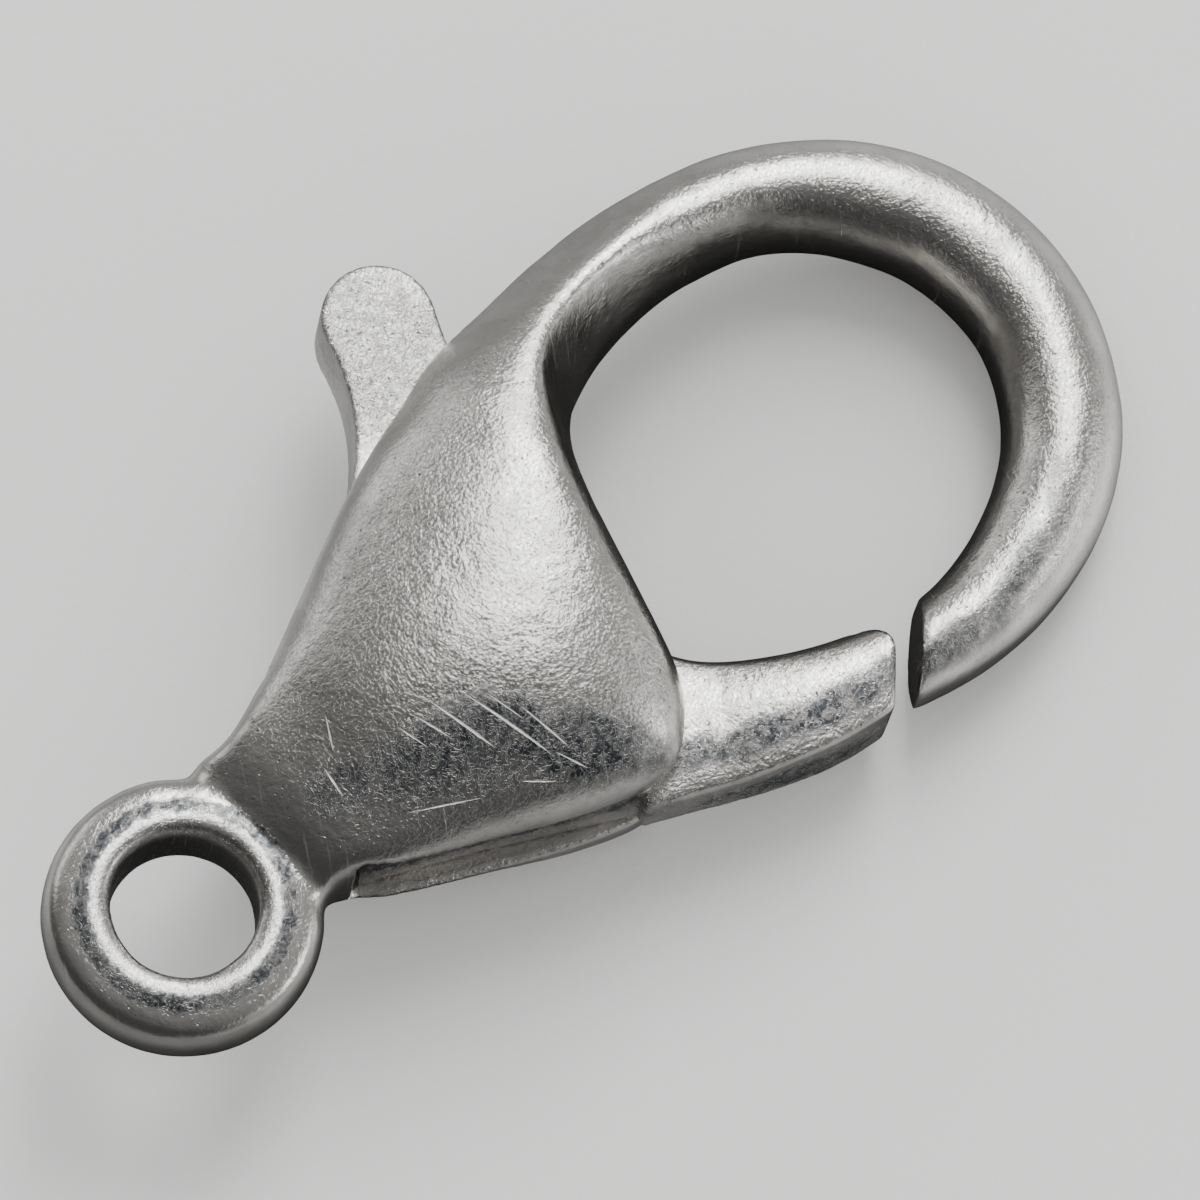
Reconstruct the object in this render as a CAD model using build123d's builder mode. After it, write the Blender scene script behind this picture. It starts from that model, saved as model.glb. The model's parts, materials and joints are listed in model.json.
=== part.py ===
from build123d import *
from math import atan2, cos, degrees, radians, sin
import os

# Lobster clasp, cast in a zinc alloy and silver plated. Millimetres.
# The pieces are drawn round the centre of the ring's bore: X runs along the clasp from
# the ring to the hook, Y across it to the side of the thumb tab, and Z is its thickness.

# Ring at the end of the clasp
bore_radius = 0.68
ring_radius = 1.30
ring_height = 0.84
bore_land = 0.12
ring_side_land = 0.12
ring_crown = 0.58
ring_turns = (46, 45)
shoulder_radius = 1.20
shoulder_wall = 0.58
shoulder_height = 0.80
shoulder_shift = 0.29
shoulder_angle = 49
shoulder_land = 0.12
shoulder_crown = 0.66
shoulder_turns = (45, 45)

# Body: two domed cheeks that run on into the hook
body_length = 9.72
body_width = 5.62
body_height = 2.90
belly_width = 3.97
hook_bar = 1.08
hook_height = 1.22
hook_end_cut = 1.19

# How it lies, on the dome of its back cheek and on the underside of the hook
rest_land = 0.03
rest_roll = 3.7
cheek_low_place = (0.376, 0.100)
cheek_low_share = 0.986
hook_low_place = (0.906, -0.187)
hook_low_share = 0.990

# Slot between the cheeks, and the walls that close it at the neck and the hook
slot_height = 0.90
slot_corner = 0.25

# Lever: a flat plate in the slot, a thicker gate outside it and a thumb tab
lever_clearance = 0.05
gate_height = 1.04
gate_width = 1.16
gate_turns = (76, 66)
gate_inner_corner = 0.22
gate_outer_corner = 0.07
plate_bevel = 0.04
tab_radius = 0.54
tab_length = 0.80
tab_angle = 75
tab_half_angle = 96
tab_edge = 0.22

# Pivot pin, blind in the front cheek
pin_radius = 0.34
pin_blind_depth = 0.45
pin_hole_clearance = 0.01
pin_running_clearance = 0.03

# Return spring: a bent strip between the neck and the lever
spring_thickness = 0.08
spring_width = 0.60
spring_gap = 0.03
spring_bend = 0.14
spring_foot_top = 0.66
spring_foot_end = 0.36
spring_touch = 0.90

ring_middle = (bore_radius + ring_radius) / 2
ring_wall = ring_radius - bore_radius
half_slot = slot_height / 2
half_plate = half_slot - lever_clearance
cut_reach = body_width


def at(along, across):
    """A point of the plan, by its shares of the body's length and width."""
    return Vector(ring_middle + along * body_length, across * body_width)


def section_plane(along, across, turn):
    """An upright plane through a point of the plan, its x axis turned from X."""
    angle = radians(turn)
    return Plane(
        origin=at(along, across),
        x_dir=(cos(angle), sin(angle), 0),
        z_dir=(sin(angle), -cos(angle), 0),
    )


def half_arch(reach, rise, turn):
    """Radii of the side and crown arcs over one half of a section.

    The side's arc starts upright at the wall and has turned by so many degrees where it
    meets the crown's arc, which ends level at the top.
    """
    level, upright = cos(radians(turn)), sin(radians(turn))
    spread = level + upright - 1
    side_radius = (level * rise - (1 - upright) * reach) / spread
    crown_radius = (upright * reach - (1 - level) * rise) / spread
    return side_radius, crown_radius


def arched_section(breadth, crown_at, height, walls, turns):
    """A closed outline of side walls, side arcs and crown arcs, alike on both faces.

    The outer side is at +x and the inner side at -x. crown_at is the crown's distance
    from the outer side as a share of the breadth. walls and turns hold half the wall's
    height and the side arc's turn in degrees, at the outer and the inner side.
    """
    middle = breadth * (0.5 - crown_at)
    reaches = (breadth / 2 - middle, breadth / 2 + middle)
    for reach, wall, turn, side in zip(reaches, walls, turns, (1, -1)):
        side_radius, crown_radius = half_arch(reach, height - wall, turn)
        edge = middle + side * reach
        start = 0 if side > 0 else 180
        Line((edge, -wall), (edge, wall))
        for face in (1, -1):
            way = side * face
            side_centre = (edge - side * side_radius, face * wall)
            crown_centre = (middle, face * (height - crown_radius))
            CenterArc(side_centre, side_radius, start, way * turn)
            CenterArc(crown_centre, crown_radius, start + way * turn, way * (90 - turn))


# Sections of the cheeks, from the ring to the root of the hook. along and across place
# the middle of the section, turn is the way to its outer side in degrees, breadth is a
# share of the belly's and height of the body's, wall is a share of its own height, and
# side_turn is how far its side arcs turn in degrees.
cheek_rows = [
    # along, across, turn, breadth, height, wall, side_turn, crown_at
    (0.002, 0.036, 96, 0.445, 0.29, 0.42, 68, 0.49),
    (0.035, 0.032, 92, 0.433, 0.40, 0.42, 66, 0.49),
    (0.085, 0.030, 91, 0.545, 0.56, 0.44, 65, 0.49),
    (0.155, 0.030, 95, 0.700, 0.77, 0.48, 64, 0.49),
    (0.235, 0.028, 100, 0.880, 0.92, 0.51, 64, 0.48),
    (0.300, 0.044, 101, 0.990, 0.985, 0.52, 64, 0.46),
    (0.346, 0.088, 100, 0.975, 1.000, 0.51, 64, 0.45),
    (0.382, 0.142, 98, 0.900, 1.000, 0.49, 63, 0.45),
    (0.415, 0.224, 94, 0.760, 0.980, 0.46, 61, 0.47),
    (0.447, 0.322, 92, 0.540, 0.870, 0.41, 57, 0.49),
    (0.490, 0.402, 88, 0.355, 0.730, 0.36, 52, 0.51),
    (0.556, 0.450, 88, 0.277, 0.600, 0.31, 48, 0.49),
    (0.640, 0.471, 88, 0.248, 0.510, 0.27, 46, 0.49),
]

# Sections of the hook, from its root round to past its end. Breadth is a share of the
# hook's bar and height of the hook's.
hook_rows = [
    # along, across, turn, breadth, height, wall, side_turn, crown_at
    (0.714, 0.463, 84, 0.890, 1.09, 0.24, 45, 0.49),
    (0.777, 0.437, 74, 0.910, 1.06, 0.22, 45, 0.49),
    (0.832, 0.385, 61, 0.970, 1.04, 0.20, 45, 0.49),
    (0.876, 0.317, 46, 1.040, 1.02, 0.20, 45, 0.49),
    (0.912, 0.226, 30, 1.070, 1.00, 0.20, 45, 0.49),
    (0.932, 0.113, 14, 1.085, 1.00, 0.20, 45, 0.49),
    (0.933, -0.006, -2, 1.070, 1.00, 0.20, 45, 0.49),
    (0.912, -0.119, -19, 1.055, 1.00, 0.22, 45, 0.49),
    (0.872, -0.223, -36, 1.050, 0.99, 0.24, 45, 0.49),
    (0.812, -0.303, -55, 1.010, 0.97, 0.27, 46, 0.49),
    (0.736, -0.355, -72, 0.910, 0.95, 0.30, 46, 0.49),
    (0.659, -0.371, -85, 0.800, 0.92, 0.33, 47, 0.49),
    (0.573, -0.352, -97, 0.740, 0.90, 0.35, 47, 0.49),
]

# Sections of the gate, from the slot to past its tip, with the outer side's edge
# crisp over a high wall and the inner side's rounded.
gate_rows = [
    # along, across, turn, breadth, height, outer wall, inner wall, crown_at
    (0.345, -0.175, 247, 1.50, 0.75, 0.67, 0.26, 0.49),
    (0.385, -0.218, 249, 1.34, 0.75, 0.69, 0.26, 0.49),
    (0.420, -0.264, 251, 1.13, 0.79, 0.70, 0.27, 0.52),
    (0.461, -0.300, 254, 1.00, 0.90, 0.73, 0.28, 0.54),
    (0.515, -0.334, 255, 0.885, 0.98, 0.76, 0.28, 0.55),
    (0.569, -0.354, 256, 0.775, 1.00, 0.76, 0.28, 0.55),
    (0.627, -0.362, 258, 0.650, 0.98, 0.74, 0.28, 0.55),
]

# Points that the slot, the plate and the spring share
neck_wall_low = (0.038, -0.220)
neck_wall_high = (0.100, 0.380)
slot_bend_back = (0.418, 0.267)
slot_bend_open = (0.402, 0.134)
lever_heel = (0.136, 0.018)
lever_hip = (0.218, 0.196)

# Plan of the slot: the neck's wall, past the back edge, the wall at the root of the
# hook, and past the corner where the gate leaves the cheeks
slot_plan = [
    neck_wall_low,
    neck_wall_high,
    (0.440, 0.640),
    (0.457, 0.510),
    slot_bend_back,
    slot_bend_open,
    (0.470, 0.022),
    (0.530, 0.010),
    (0.520, -0.430),
    (0.300, -0.430),
]

# Plan of the flat plate that fills the slot, from its tail at the neck along the open
# side into the gate, and back past the pivot and the tab
plate_plan = [
    (0.056, -0.140),
    (0.179, -0.215),
    (0.318, -0.309),
    (0.350, -0.235),
    (0.390, -0.140),
    (0.388, 0.000),
    (0.385, 0.125),
    (0.408, 0.303),
    (0.415, 0.420),
    (0.340, 0.365),
    (0.262, 0.300),
    lever_hip,
    lever_heel,
    (0.095, -0.062),
]

# Window that trims the gate's loft, from its tip's inner corner round to its outer one.
# It is laid out from the hook's end, along it and back from it, in shares of the gate.
gate_window = [
    (0.117, -0.207),
    (0.282, -0.519),
    (0.184, -0.950),
    (-0.10, -3.00),
    (2.70, -2.60),
    (1.401, -0.481),
    (0.970, -0.207),
]

pivot = at(0.316, -0.151)
hook_end_inner = at(0.649, -0.306)
hook_end_outer = at(0.591, -0.431)
hook_end = Plane(origin=hook_end_inner, x_dir=hook_end_outer - hook_end_inner, z_dir=(0, 0, 1))
cheek_low = at(*cheek_low_place) - Vector(0, 0, cheek_low_share * body_height / 2)
hook_low = at(*hook_low_place) - Vector(0, 0, hook_low_share * hook_height / 2)
rest_way = (hook_low - cheek_low).normalized()
rest_side = Vector(0, 0, 1).cross(rest_way).normalized()
rest_up = rest_way.cross(rest_side).rotate(Axis((0, 0, 0), rest_way), -rest_roll)
floor = Plane(
    origin=cheek_low + rest_up * rest_land,
    x_dir=Vector(1, 0, 0) - rest_up * rest_up.X,
    z_dir=rest_up,
)
tab_root = at(0.386, 0.480)
tab_root_left = at(0.256, 0.382)
tab_foot = [at(0.258, 0.290), at(0.410, 0.300), at(0.432, 0.450)]

# Ring, turned about the bore, whose middle is a short straight land
with BuildPart() as ring:
    with BuildSketch(section_plane(0, 0, 0)):
        with BuildLine():
            arched_section(
                ring_wall,
                ring_crown,
                ring_height / 2,
                (ring_side_land / 2, bore_land / 2),
                ring_turns,
            )
        make_face()
    revolve(axis=Axis.Z)
    shoulder_centre = Vector(shoulder_shift, 0).rotate(Axis.Z, shoulder_angle)
    shoulder_out = Vector(1, 0).rotate(Axis.Z, shoulder_angle - 90)
    shoulder_middle = shoulder_radius - shoulder_wall / 2
    with BuildSketch(
        Plane(
            origin=shoulder_centre + shoulder_out * shoulder_middle,
            x_dir=shoulder_out,
            z_dir=shoulder_out.rotate(Axis.Z, -90),
        )
    ):
        with BuildLine():
            arched_section(
                shoulder_wall,
                shoulder_crown,
                shoulder_height / 2,
                (shoulder_land / 2, shoulder_land / 2),
                shoulder_turns,
            )
        make_face()
    revolve(axis=Axis(shoulder_centre, (0, 0, 1)), revolution_arc=180)

# Cheeks and hook as one smooth skin over their sections, with the small flats that the
# clasp lies on
with BuildPart() as envelope:
    for rows, full_breadth, full_height in (
        (cheek_rows, belly_width, body_height),
        (hook_rows, hook_bar, hook_height),
    ):
        for along, across, turn, breadth, height, wall, side_turn, crown_at in rows:
            half_height = height * full_height / 2
            with BuildSketch(section_plane(along, across, turn)):
                with BuildLine():
                    arched_section(
                        breadth * full_breadth,
                        crown_at,
                        half_height,
                        (wall * half_height,) * 2,
                        (side_turn,) * 2,
                    )
                make_face()
    loft()
    split(bisect_by=floor, keep=Keep.TOP)

# Body: the skin and the ring in one casting, with its slot, its pin's hole and the
# sloping end of the hook
with BuildPart() as body:
    add(envelope.part)
    add(ring.part)
    with BuildSketch():
        Circle(bore_radius)
    extrude(amount=cut_reach, both=True, mode=Mode.SUBTRACT)
    with BuildSketch() as slot_sketch:
        with BuildLine():
            Polyline(*[at(*point) for point in slot_plan], close=True)
        make_face()
        for bend in (slot_bend_back, slot_bend_open):
            fillet(slot_sketch.vertices().sort_by_distance(at(*bend))[0], slot_corner)
    extrude(amount=half_slot, both=True, mode=Mode.SUBTRACT)
    with BuildSketch(hook_end):
        with Locations((hook_bar / 2, 0)):
            Rectangle(2 * hook_bar, hook_end_cut, align=(Align.CENTER, Align.MAX))
    extrude(amount=cut_reach, both=True, mode=Mode.SUBTRACT)
    with BuildSketch(Plane.XY.offset(half_slot + pin_blind_depth)):
        with Locations(pivot):
            Circle(pin_radius + pin_hole_clearance)
    extrude(amount=-cut_reach, mode=Mode.SUBTRACT)

# Pivot pin, blind in the front cheek and flush with the dome of the back one
with BuildPart() as pin:
    with BuildSketch(Plane.XY.offset(half_slot + pin_blind_depth - pin_hole_clearance)):
        with Locations(pivot):
            Circle(pin_radius)
    extrude(amount=-cut_reach)
    add(envelope.part, mode=Mode.INTERSECT)

# Gate of the lever, a domed bar whose tip faces the hook's end
with BuildPart() as gate:
    for along, across, turn, breadth, height, outer_wall, inner_wall, crown_at in gate_rows:
        half_height = height * gate_height / 2
        with BuildSketch(section_plane(along, across, turn)):
            with BuildLine():
                arched_section(
                    breadth * gate_width,
                    crown_at,
                    half_height,
                    (outer_wall * half_height, inner_wall * half_height),
                    gate_turns,
                )
            make_face()
    loft()
    trim = [Vector(*point) * gate_width for point in gate_window]
    with BuildSketch(hook_end) as window:
        with BuildLine():
            Polyline(*trim, close=True)
        make_face()
        fillet(window.vertices().sort_by_distance(trim[0])[0], gate_inner_corner)
        fillet(window.vertices().sort_by_distance(trim[-1])[0], gate_outer_corner)
    extrude(amount=gate_height, both=True, mode=Mode.INTERSECT)

# Thumb tab of the lever, a pad with rounded edges
tab_centre = tab_root + Vector(tab_length, 0).rotate(Axis.Z, tab_angle)
with BuildPart() as tab:
    with BuildSketch():
        with BuildLine():
            head = CenterArc(tab_centre, tab_radius, tab_angle - tab_half_angle, 2 * tab_half_angle)
            side = TangentArc(head @ 1, tab_root_left, tangent=head % 1)
            Polyline(side @ 1, *tab_foot, head @ 0)
        make_face()
    extrude(amount=half_plate, both=True)
    fillet(tab.edges().filter_by(Plane.XY), tab_edge)

# Lever: plate, gate and tab in one piece, bored for the pin
with BuildPart() as lever:
    with BuildSketch():
        with BuildLine():
            Polyline(*[at(*point) for point in plate_plan], close=True)
        make_face()
    extrude(amount=half_plate, both=True)
    chamfer(lever.edges().filter_by(Plane.XY), plate_bevel)
    add(gate.part)
    add(tab.part)
    with BuildSketch():
        with Locations(pivot):
            Circle(pin_radius + pin_running_clearance)
    extrude(amount=cut_reach, both=True, mode=Mode.SUBTRACT)

# Return spring: a foot along the neck's wall, a bend, and an arm to the lever's heel
wall_low = at(*neck_wall_low)
wall_way = at(*neck_wall_high) - wall_low
wall_inward = wall_way.normalized().rotate(Axis.Z, -90)
heel = at(*lever_heel)
heel_way = at(*lever_hip) - heel
heel_outward = heel_way.normalized().rotate(Axis.Z, 90)
spring_stand = spring_gap + spring_thickness / 2
with BuildPart() as spring:
    with BuildSketch():
        with BuildLine() as spring_line:
            FilletPolyline(
                wall_low + wall_way * spring_foot_top + wall_inward * spring_stand,
                wall_low + wall_way * spring_foot_end + wall_inward * spring_stand,
                heel + heel_way * spring_touch + heel_outward * spring_stand,
                radius=spring_bend,
            )
        trace(line_width=spring_thickness)
    extrude(amount=spring_width / 2, both=True)

# The finished pieces, laid on the floor with the origin in the middle below them
pieces = {
    "clasp_body": body,
    "gate_lever": lever,
    "pivot_pin": pin,
    "return_spring": spring,
}
lying = {name: floor.to_local_coords(piece.part) for name, piece in pieces.items()}
whole = Compound(list(lying.values())).bounding_box()
stand = Location((-whole.center().X, -whole.center().Y, 0))
os.makedirs("parts", exist_ok=True)
for name, part in lying.items():
    finished = part.moved(stand)
    finished.label = name
    export_step(finished, f"parts/{name}.step")
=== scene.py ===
"""Lobster clasp: a silver plated casting with a ring, two domed cheeks and a hook, and a
sprung lever that closes it. Run as a script. Distances in the tables are millimetres from
the centre of the ring's bore, or shares of the named sizes."""

import json
from math import atan2, cos, degrees, pi, radians, sin, tan

import bmesh
import bpy
from bpy.props import FloatProperty, FloatVectorProperty
from mathutils import Matrix, Vector


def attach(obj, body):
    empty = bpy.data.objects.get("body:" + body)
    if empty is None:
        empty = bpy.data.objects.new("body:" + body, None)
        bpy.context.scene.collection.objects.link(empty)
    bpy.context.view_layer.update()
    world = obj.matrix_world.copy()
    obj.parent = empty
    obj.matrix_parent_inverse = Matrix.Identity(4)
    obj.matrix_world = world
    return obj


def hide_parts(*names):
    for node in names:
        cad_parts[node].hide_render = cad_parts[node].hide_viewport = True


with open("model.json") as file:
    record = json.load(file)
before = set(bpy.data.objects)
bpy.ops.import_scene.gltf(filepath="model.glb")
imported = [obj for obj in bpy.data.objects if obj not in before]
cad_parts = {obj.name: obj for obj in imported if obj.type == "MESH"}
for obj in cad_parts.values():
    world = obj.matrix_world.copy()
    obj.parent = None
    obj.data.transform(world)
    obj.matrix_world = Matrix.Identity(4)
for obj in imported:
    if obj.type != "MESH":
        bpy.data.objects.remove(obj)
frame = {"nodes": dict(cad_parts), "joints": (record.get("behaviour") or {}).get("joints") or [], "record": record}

bl_info = {
    "name": "Lobster clasp",
    "version": (1, 0, 0),
    "blender": (4, 5, 0),
    "location": "3D View > Sidebar > Clasp",
    "description": "Builds a worn silver plated lobster clasp and its studio",
    "category": "Object",
}

MM = 0.001
BORE_MOUNT = next(m for m in frame["record"]["mounts"] if m["name"] == "ring_bore")
HINGE = next(j for j in frame["joints"] if j["name"] == "lever_hinge")
PIVOT = (0.316, -0.151)

# Sections of the cheeks, from the ring to the root of the hook. along and across place the
# middle of the section in shares of the body's length and width, turn is the way to its
# outer side in degrees, breadth and height are shares of the belly's, wall is a share of
# the section's own height, side_turn is how far its side arcs turn in degrees, and
# crown_at is how far its crown stands from the outer side, as a share of its breadth.
CHEEK_ROWS = (
    # along, across, turn, breadth, height, wall, side_turn, crown_at
    (0.002, 0.036, 96, 0.445, 0.290, 0.62, 76, 0.49),
    (0.035, 0.032, 92, 0.433, 0.420, 0.72, 80, 0.49),
    (0.085, 0.030, 91, 0.545, 0.565, 0.58, 73, 0.49),
    (0.155, 0.030, 95, 0.700, 0.770, 0.48, 64, 0.49),
    (0.235, 0.028, 100, 0.880, 0.920, 0.51, 64, 0.51),
    (0.300, 0.044, 101, 0.990, 0.985, 0.52, 64, 0.49),
    (0.346, 0.088, 100, 0.975, 1.000, 0.51, 64, 0.46),
    (0.382, 0.142, 98, 0.900, 1.000, 0.49, 63, 0.47),
    (0.415, 0.224, 94, 0.760, 0.975, 0.46, 58, 0.51),
    (0.447, 0.322, 92, 0.540, 0.880, 0.39, 52, 0.58),
    (0.490, 0.402, 88, 0.355, 0.755, 0.34, 47, 0.60),
    (0.556, 0.450, 88, 0.277, 0.620, 0.30, 45, 0.57),
    (0.640, 0.471, 88, 0.248, 0.515, 0.27, 45, 0.54),
)

# Sections of the hook, from its root round to past its end, breadth and height in shares
# of the hook's bar
HOOK_ROWS = (
    # along, across, turn, breadth, height, wall, side_turn, crown_at
    (0.714, 0.463, 84, 0.890, 1.09, 0.24, 45, 0.52),
    (0.777, 0.437, 74, 0.910, 1.06, 0.22, 45, 0.51),
    (0.832, 0.385, 61, 0.970, 1.04, 0.20, 45, 0.49),
    (0.876, 0.317, 46, 1.040, 1.02, 0.20, 45, 0.49),
    (0.912, 0.226, 30, 1.070, 1.00, 0.20, 45, 0.49),
    (0.932, 0.113, 14, 1.085, 1.00, 0.20, 45, 0.49),
    (0.933, -0.006, -2, 1.070, 1.00, 0.20, 45, 0.49),
    (0.912, -0.119, -19, 1.055, 1.00, 0.22, 45, 0.49),
    (0.872, -0.223, -36, 1.050, 0.99, 0.24, 45, 0.49),
    (0.812, -0.303, -55, 1.010, 0.97, 0.27, 46, 0.49),
    (0.736, -0.355, -72, 0.910, 0.95, 0.30, 46, 0.49),
    (0.659, -0.371, -85, 0.800, 0.92, 0.33, 47, 0.49),
    (0.573, -0.352, -97, 0.740, 0.90, 0.35, 47, 0.49),
)

# Half section of the ring, in shares of its wall from the bore out and of half its height
RING_SECTION = (
    # out, up
    (0.000, 0.00),
    (0.000, 0.50),
    (0.030, 0.78),
    (0.080, 0.92),
    (0.160, 0.982),
    (0.270, 1.00),
    (0.380, 0.984),
    (0.470, 0.938),
    (0.540, 0.898),
    (0.620, 0.872),
    (0.740, 0.828),
    (0.860, 0.725),
    (0.945, 0.530),
    (0.990, 0.300),
    (1.000, 0.140),
    (1.000, 0.00),
)

# How many degrees the side arcs turn on the shoulder, which leads from the ring into the
# neck, and where its crown stands
SHOULDER_TURN = 45
SHOULDER_CROWN = 0.66

# Sections of the gate, from the slot to past its tip, breadth and height in shares of the
# gate's; its side arcs turn so many degrees and start at such a slope, outer then inner
GATE_TURNS = (76, 66)
GATE_EDGES = (42, 0)
GATE_ROWS = (
    # along, across, turn, breadth, height, outer wall, inner wall, crown_at
    (0.345, -0.174, 247, 1.494, 0.75, 0.72, 0.26, 0.49),
    (0.385, -0.217, 249, 1.333, 0.75, 0.74, 0.26, 0.49),
    (0.420, -0.263, 251, 1.120, 0.79, 0.77, 0.27, 0.52),
    (0.461, -0.299, 254, 0.988, 0.90, 0.81, 0.28, 0.53),
    (0.515, -0.333, 255, 0.872, 0.98, 0.84, 0.28, 0.54),
    (0.569, -0.352, 256, 0.759, 1.00, 0.85, 0.28, 0.54),
    (0.627, -0.360, 258, 0.629, 0.98, 0.86, 0.28, 0.54),
)

# Plan of the slot, in shares of the body, and its rounded bends by their place in it
SLOT_PLAN = (
    (0.038, -0.220),
    (0.100, 0.380),
    (0.440, 0.640),
    (0.457, 0.510),
    (0.418, 0.267),
    (0.402, 0.134),
    (0.470, 0.022),
    (0.530, 0.010),
    (0.520, -0.430),
    (0.300, -0.430),
)
SLOT_BENDS = (4, 5)

# Where the ring's outside runs into the neck, in shares of the body, and the corner of
# the hook's end; both are softened by so many passes
RING_FILLETS = ((-0.004, 0.171), (0.033, -0.123))
FILLET_PASSES = 60
HOOK_CORNER = (0.606, -0.436)
CORNER_PASSES = 16

# Plan of the lever's plate, from its tail at the neck along the open side into the gate,
# and back past the pivot and the tab
PLATE_PLAN = (
    (0.058, -0.112),
    (0.179, -0.190),
    (0.318, -0.292),
    (0.350, -0.235),
    (0.390, -0.140),
    (0.388, 0.000),
    (0.385, 0.125),
    (0.408, 0.303),
    (0.415, 0.420),
    (0.340, 0.365),
    (0.262, 0.300),
    (0.218, 0.196),
    (0.136, 0.018),
    (0.095, -0.062),
)

# The line that ends the hook, in shares of the body
HOOK_END_INNER = (0.649, -0.306)
HOOK_END_OUTER = (0.591, -0.431)

# Window that trims the gate, in shares of the gate's width: across the hook's bar from the
# inner corner of its end, and on towards the gate
GATE_WINDOW = (
    # across, on
    (0.117, 0.207),
    (0.282, 0.519),
    (0.184, 0.950),
    (-0.10, 3.00),
    (2.70, 2.60),
    (1.401, 0.481),
    (0.970, 0.207),
)
WINDOW_INNER_CORNER = 0
WINDOW_OUTER_CORNER = 6

# Foot of the thumb tab, in shares of the body. Its head is round for so many degrees
# either way, and the left flank below it is hollow
TAB_ROOT = (0.386, 0.480)
TAB_ROOT_LEFT = (0.256, 0.382)
TAB_FOOT = ((0.258, 0.290), (0.410, 0.300), (0.432, 0.450))
TAB_HEAD_TURN = 96

# Sides of a full turn in round pieces, and steps along shorter arcs
ROD_SIDES = 96
RING_SIDES = 144
ARC_STEPS = 8
TAB_HEAD_STEPS = 32
TAB_FLANK_STEPS = 12
TAB_RIM_STEPS = 6

# Share of the way to its neighbours that one smoothing pass moves a corner
SMOOTHING = 0.5


def length(name, description, default):
    """A size of the clasp, its default in millimetres."""
    return FloatProperty(
        name=name, description=description, default=default * MM, subtype="DISTANCE",
        unit="LENGTH", precision=6,
    )


def colour(name, description, default):
    """A colour that the clasp's finish takes."""
    return FloatVectorProperty(
        name=name, description=description, default=default, subtype="COLOR", size=3, min=0,
        max=1,
    )


def angle(name, description, default):
    """A slope or a way in the plan, its default in degrees."""
    return FloatProperty(
        name=name, description=description, default=radians(default), subtype="ANGLE",
        unit="ROTATION",
    )


def fraction(name, description, default):
    """A number from 0 to 1."""
    return FloatProperty(
        name=name, description=description, default=default, min=0, max=1, subtype="FACTOR"
    )


class ClaspSizes(bpy.types.PropertyGroup):
    """Sizes of the clasp's pieces."""

    bore_radius: length("Bore radius", "Half the width of the ring's hole", 0.68)
    ring_radius: length("Ring radius", "Half the width of the ring", 1.30)
    body_length: length("Body length", "Length that the section tables share out", 9.72)
    body_width: length("Body width", "Width that the section tables share out", 5.62)
    body_height: length("Body height", "Thickness over both domed cheeks", 2.90)
    belly_width: length("Belly width", "Widest section of the cheeks", 3.97)
    hook_bar: length("Hook bar", "Breadth of the hook's bar", 1.08)
    hook_height: length("Hook height", "Thickness of the hook's bar", 1.22)
    ring_height: length("Ring height", "Thickness of the ring", 0.84)
    shoulder_land: length("Shoulder land", "Upright land round the shoulder", 0.12)
    shoulder_radius: length("Shoulder radius", "Outside of the ring's shoulder", 1.20)
    shoulder_wall: length("Shoulder wall", "Wall of the ring's shoulder", 0.58)
    shoulder_height: length("Shoulder height", "Thickness of the ring's shoulder", 0.74)
    shoulder_shift: length("Shoulder shift", "How far the shoulder leans to the neck", 0.29)
    slot_height: length("Slot height", "Gap between the cheeks", 0.90)
    slot_corner: length("Slot corner", "Radius at the slot's bends", 0.25)
    lever_clearance: length("Lever clearance", "Gap each side of the lever", 0.05)
    gate_width: length("Gate width", "Breadth of the lever's gate", 1.16)
    gate_height: length("Gate height", "Thickness of the lever's gate", 1.04)
    gate_inner_corner: length("Gate inner corner", "Radius at the gate's inner tip", 0.22)
    gate_outer_corner: length("Gate outer corner", "Radius at the gate's outer tip", 0.09)
    tab_radius: length("Tab radius", "Half the width of the thumb tab", 0.54)
    tab_length: length("Tab length", "From the cheeks' back edge to the tab's head", 0.80)
    tab_edge: length("Tab edge", "Rounding of the thumb tab's rim", 0.22)
    pin_radius: length("Pin radius", "Half the pivot pin's thickness", 0.34)
    pin_depth: length("Pin depth", "How far the pin enters the front cheek", 0.45)
    pin_gap: length("Pin gap", "Gap round the pin in the lever", 0.03)
    pin_seam: length("Pin seam", "Gap round the pin in the cheeks", 0.01)
    rough_grid: length("Rough grid", "Mesh size of the body's first skin", 0.04455)
    casting_grid: length("Casting grid", "Mesh size of the body's skin", 0.0405)
    lever_grid: length("Lever grid", "Mesh size of the lever's skin", 0.028)
    pin_grid: length("Pin grid", "Mesh size of the pin's skin", 0.028)
    fillet_reach: length("Fillet reach", "How far the ring's fillets reach", 0.42)
    corner_reach: length("Corner reach", "How far the hook's end corner is softened", 0.252)
    dent_depth: length("Dent depth", "Depth of the casting's soft dents", 0.010)
    dent_size: length("Dent size", "Size of the casting's soft dents", 0.30)
    lever_dent_depth: length("Lever dent depth", "Depth of the lever's soft dents", 0.006)
    lever_dent_size: length("Lever dent size", "Size of the lever's soft dents", 0.24)
    shoulder_angle: angle("Shoulder angle", "Way that the shoulder leans", 49)
    tab_angle: angle("Tab angle", "Way that the thumb tab points", 75)
    cheek_edge: angle("Cheek edge", "Slope of the cheeks where they leave their wall", 28)
    hook_edge: angle("Hook edge", "Slope of the hook where it leaves its wall", 15)


def sizes():
    """The clasp's sizes as the scene holds them."""
    return bpy.context.scene.clasp_sizes


def at(along, across):
    """A point of the clasp's plan by its shares of the body's length and width."""
    size = sizes()
    ring_middle = (size.bore_radius + size.ring_radius) / 2
    return Vector((ring_middle + along * size.body_length, across * size.body_width, 0))


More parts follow.
